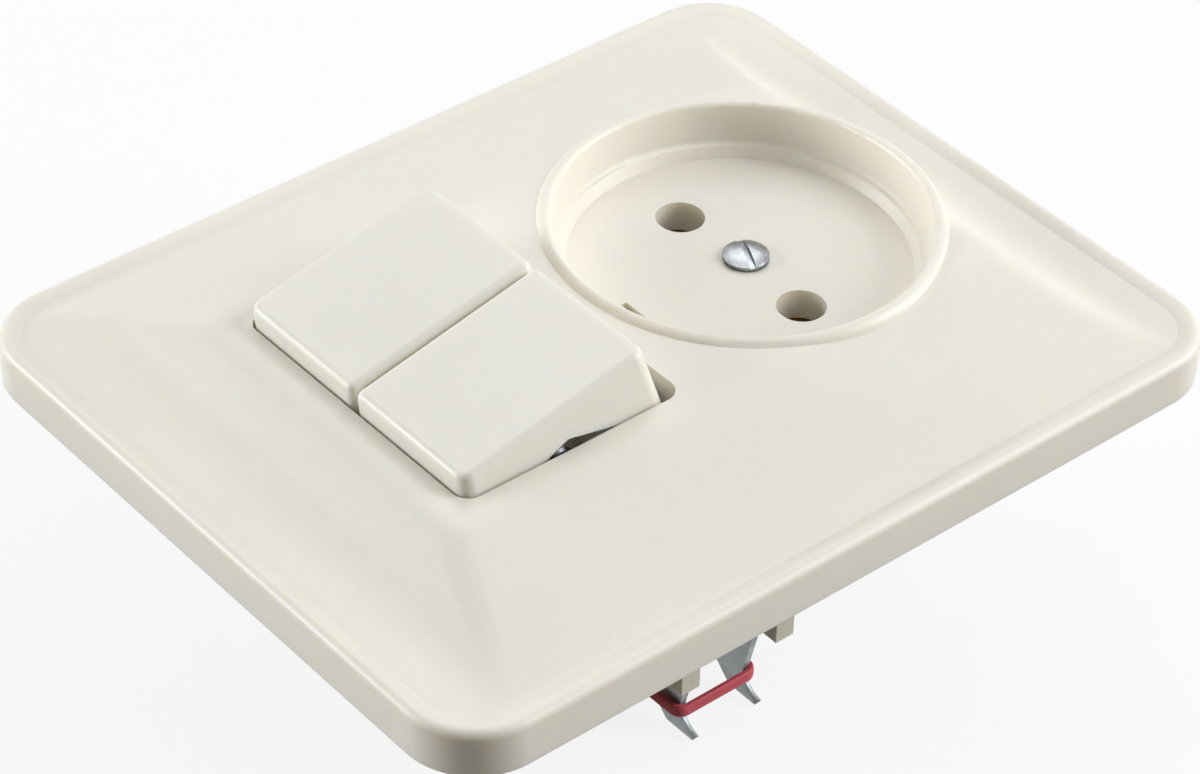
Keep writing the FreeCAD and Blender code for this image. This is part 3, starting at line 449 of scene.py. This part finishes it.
def photo_camera():
    """The photographer's view: long lens, from the front left corner, slightly rolled."""
    azimuth, elevation, roll = math.radians(-41.99), math.radians(39.22), math.radians(2.599)
    distance = 414.395 * MM
    target = Vector((1.797, -6.798, 0)) * MM
    back = Vector((math.sin(azimuth) * math.cos(elevation),
                   -math.cos(azimuth) * math.cos(elevation), math.sin(elevation)))
    level = (-back).cross(Vector((0, 0, 1))).normalized()
    upward = level.cross(-back)
    right = math.cos(roll) * level + math.sin(roll) * upward
    top = -math.sin(roll) * level + math.cos(roll) * upward
    turned = Matrix((right, top, back)).transposed()
    lens = bpy.data.cameras.new("photo_camera")
    lens.lens, lens.sensor_width = 123.04, 36.0
    lens.shift_x, lens.shift_y = -0.0505, 0.0054
    lens.clip_start, lens.clip_end = 0.01, 20.0
    made = bpy.data.objects.new("photo_camera", lens)
    made.matrix_world = Matrix.Translation(target + back * distance) @ turned.to_4x4()
    bpy.context.scene.collection.objects.link(made)
    bpy.context.scene.camera = made


def softbox(name, place, width, height, watts):
    """Rectangular studio lamp at place, turned to the origin."""
    lamp = bpy.data.lights.new(name, "AREA")
    lamp.shape, lamp.size, lamp.size_y, lamp.energy = "RECTANGLE", width, height, watts
    lamp.color = LAMP_COLOUR
    made = bpy.data.objects.new(name, lamp)
    made.location = place
    made.rotation_mode = "QUATERNION"
    made.rotation_quaternion = (Vector() - Vector(place)).to_track_quat("-Z", "Y")
    bpy.context.scene.collection.objects.link(made)


def seen_directly(tree):
    """1 for rays that show the surroundings themselves, 0 for rays that only gather light."""
    path = add(tree, "ShaderNodeLightPath").outputs
    shown = add(tree, "ShaderNodeMath", {0: path["Is Camera Ray"], 1: path["Is Glossy Ray"]},
                operation="MAXIMUM")
    return add(tree, "ShaderNodeMath", {0: shown, 1: path["Is Transmission Ray"]},
               operation="MAXIMUM")


def white_surroundings():
    """White room that is seen as white, itself and in reflections, but lights nothing."""
    room = bpy.data.worlds.new("white_room")
    room.use_nodes = True
    tree = room.node_tree
    tree.nodes.clear()
    glow = add(tree, "ShaderNodeBackground", {"Color": (1, 1, 1, 1),
                                              "Strength": seen_directly(tree)})
    add(tree, "ShaderNodeOutputWorld", {"Surface": glow})
    bpy.context.scene.world = room


def table_top(half, whiteness):
    """White table that the insert stands on. It keeps a pale shadow of the object and is seen
    through from below. Seen directly it is white, but the light it sends back up is a dark warm
    grey: painted shade that darkens and warms the object's underside and the near corner of its
    skirt."""
    made, tree = blank_material("white_table")
    shown = seen_directly(tree)
    share = add(tree, "ShaderNodeMath", {0: shown, 1: whiteness}, operation="MULTIPLY")
    # Painted shade: white where seen, a dark warm grey in the light it bounces up onto the
    # object.
    bounce_shade_tint = add(tree, "ShaderNodeMix", {0: shown, 6: linear("8F897B"), 7: linear("F4F4F2")},
                data_type="RGBA").outputs[2]
    matt = add(tree, "ShaderNodeBsdfDiffuse", {"Color": bounce_shade_tint})
    glow = add(tree, "ShaderNodeEmission", {"Color": (1, 1, 1, 1), "Strength": 1.0})
    mixed = add(tree, "ShaderNodeMixShader", {0: share, 1: matt, 2: glow})
    from_below = add(tree, "ShaderNodeNewGeometry").outputs["Backfacing"]
    clear = add(tree, "ShaderNodeBsdfTransparent")
    surface = add(tree, "ShaderNodeMixShader", {0: from_below, 1: mixed, 2: clear})
    add(tree, "ShaderNodeOutputMaterial", {"Surface": surface})
    clearance = 0.02 * MM
    mesh = bmesh.new()
    bmesh.ops.create_grid(mesh, x_segments=1, y_segments=1, size=half)
    bmesh.ops.translate(mesh, verts=mesh.verts, vec=(0, 0, resting_height - clearance))
    data = bpy.data.meshes.new("table_top")
    mesh.to_mesh(data)
    mesh.free()
    data.materials.append(made)
    top = bpy.data.objects.new("table_top", data)
    bpy.context.scene.collection.objects.link(top)


# Name, place, width and height in metres, and watts. The two walls stand across the view, so
# they leave the near corner of the plate's skirt dark, as in the photo.
studio = (
    ("overhead", (0, 0, 1.0), 1.0, 1.0, 2.9),
    ("behind", (0.430, 0.478, 0.766), 0.8, 0.6, 2.8),
    ("left_wall", (-0.727, 0.654, 0.208), 0.5, 0.4, 8.8),
    ("right_wall", (0.727, -0.654, 0.208), 0.5, 0.4, 4.6),
    ("right_high", (0.586, -0.527, 0.616), 0.5, 0.5, 5.2),
)

photo_camera()
white_surroundings()
table_top(half=4.0, whiteness=0.86)
for lamp_values in studio:
    softbox(*lamp_values)
bpy.context.scene.view_settings.view_transform = "Standard"
